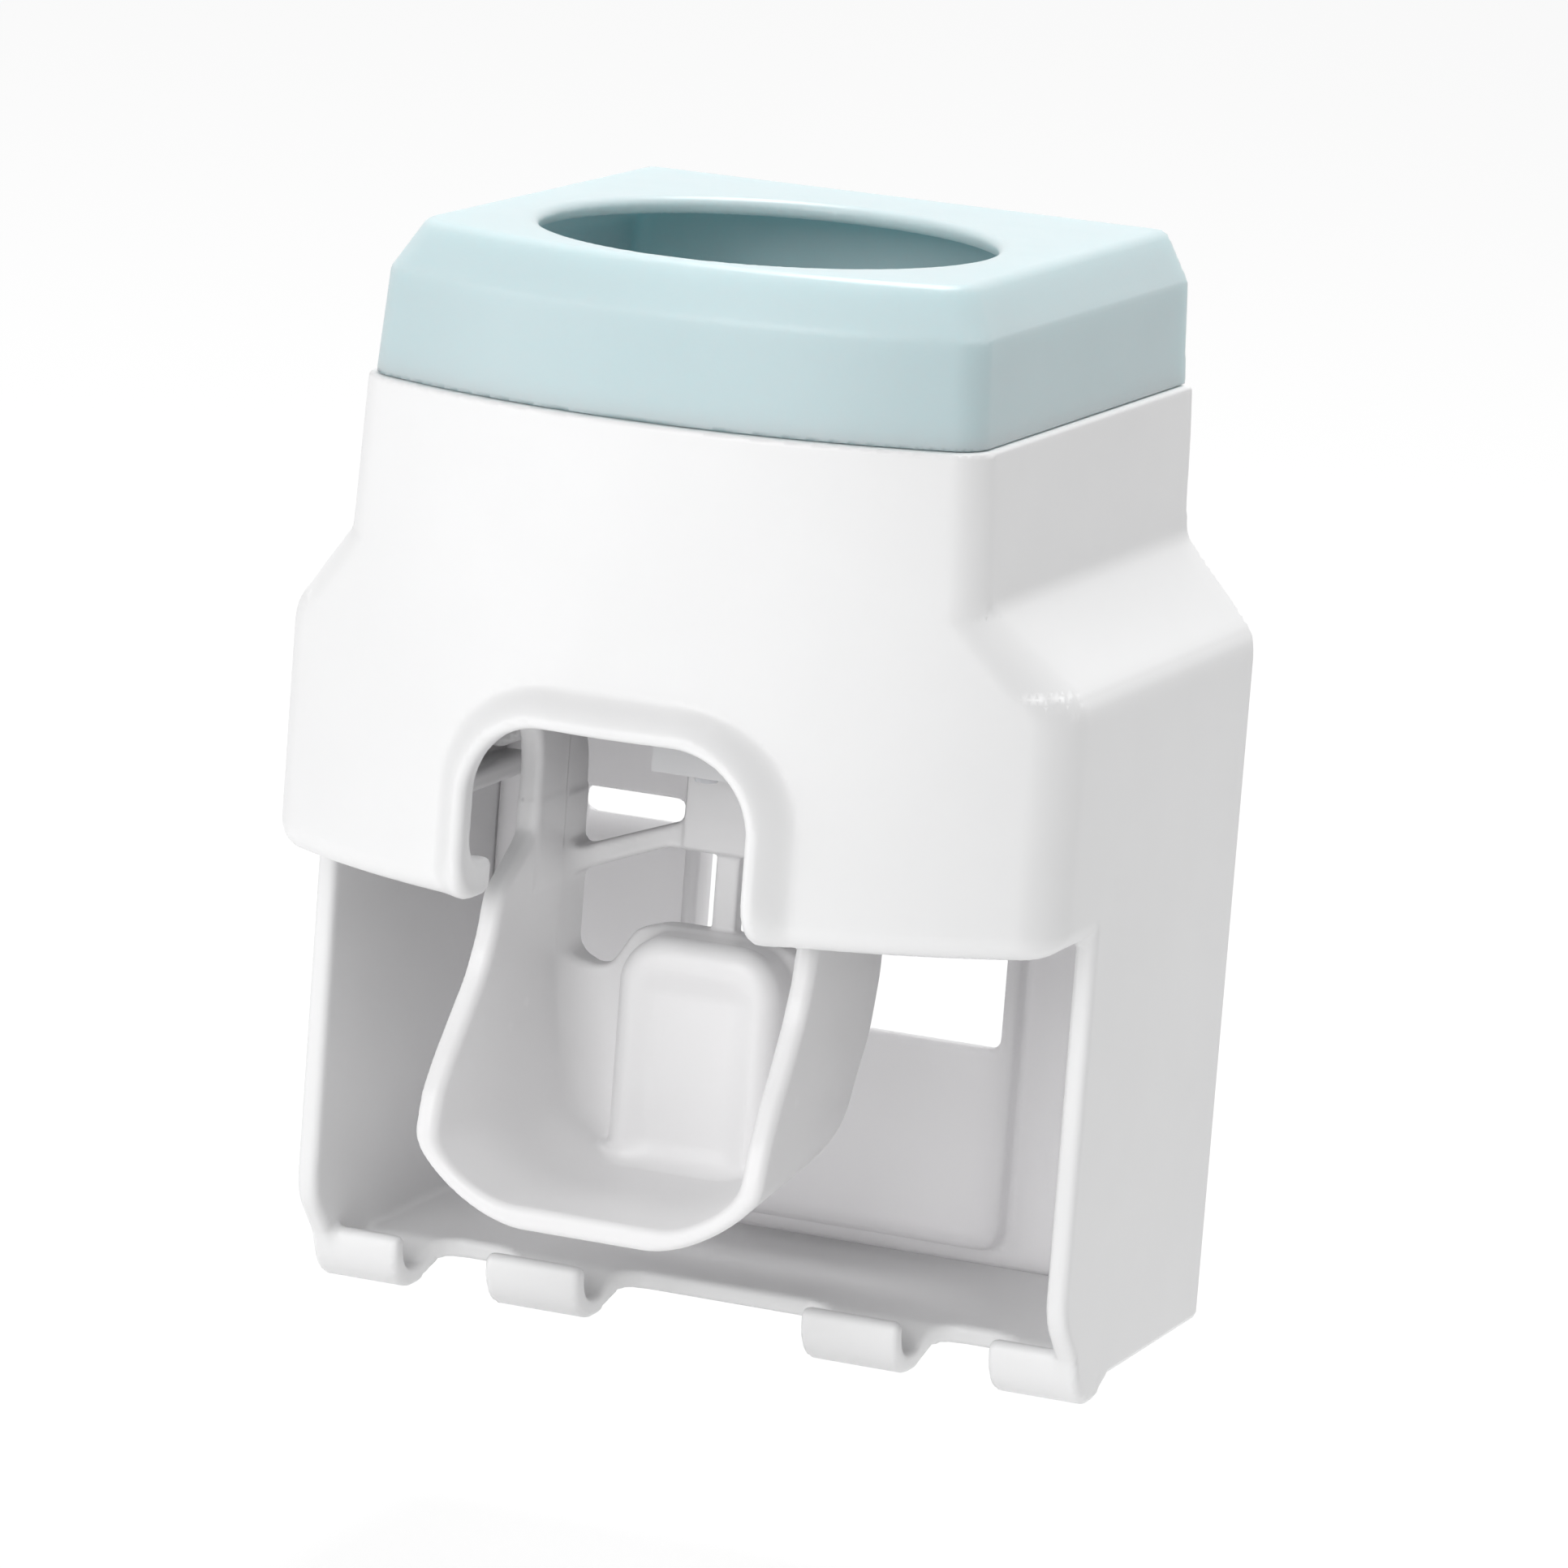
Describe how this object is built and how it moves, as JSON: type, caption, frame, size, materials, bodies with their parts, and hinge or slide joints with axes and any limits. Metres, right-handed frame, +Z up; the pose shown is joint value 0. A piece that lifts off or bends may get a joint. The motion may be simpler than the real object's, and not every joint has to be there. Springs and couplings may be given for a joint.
{
  "type": "toothpaste dispenser",
  "caption": "Wall-hung toothpaste dispenser with a bowed white housing, pale teal tube collar, arched mouth, hinged push cup over a small pump, and a notched toothbrush shelf.",
  "frame": {"origin": "on the wall face of the rear cover, in the middle of its width, 60 mm above the underside of the shelf's hooks", "axes": "+X to the right as seen by the user, +Y back into the wall, +Z up"},
  "size_m": [0.09, 0.078, 0.1225],
  "materials": {
    "housing_white": "smooth satin white ABS",
    "cover_white": "smooth satin white ABS",
    "collar_teal": "slightly translucent pale teal",
    "cup_white": "smooth satin white ABS",
    "pump_white": "moulded white",
    "inner_grey": "moulded light grey",
    "piston_cream": "moulded natural",
    "seal_black": "soft black",
    "seal_clear": "soft translucent",
    "steel": "bright drawn"
  },
  "bodies": {
    "shell": {"housing": "housing_white", "rear_cover": "cover_white", "pump_body": "pump_white", "duct_plugs": "inner_grey", "gland_cap": "inner_grey", "rod_seal": "seal_black", "return_spring": "steel", "tube_seal": "seal_clear", "seal_ring": "inner_grey", "inlet_valve": "seal_clear", "outlet_valve": "seal_clear", "nozzle": "pump_white", "pump_screws": "steel", "cover_screws": "steel"},
    "lever": {"push_cup": "cup_white", "hinge_pins": "steel", "pin_clips": "steel"},
    "plunger": {"piston": "piston_cream", "piston_seal": "seal_black", "rod_disc": "inner_grey"},
    "collar": {"tube_collar": "collar_teal"}
  },
  "joints": [
    {"name": "cup_swing", "type": "hinge", "parent": "shell", "child": "lever", "pos_m": [0, -0.051, 0.016], "axis": [1, 0, 0], "range_deg": [0, 14], "stiffness_Nm_per_rad": 0.1, "springref_deg": -11.46},
    {"name": "piston_slide", "type": "slide", "parent": "shell", "child": "plunger", "axis": [0, 1, 0], "range_m": [0, 0.00348], "deforming": ["return_spring"]},
    {"name": "collar_lift", "type": "slide", "parent": "shell", "child": "collar", "axis": [0, 0, 1], "range_m": [0, 0.03]}
  ],
  "couplings": [
    {"joint": "piston_slide", "follows": "cup_swing", "m_per_rad": 0.01426}
  ]
}
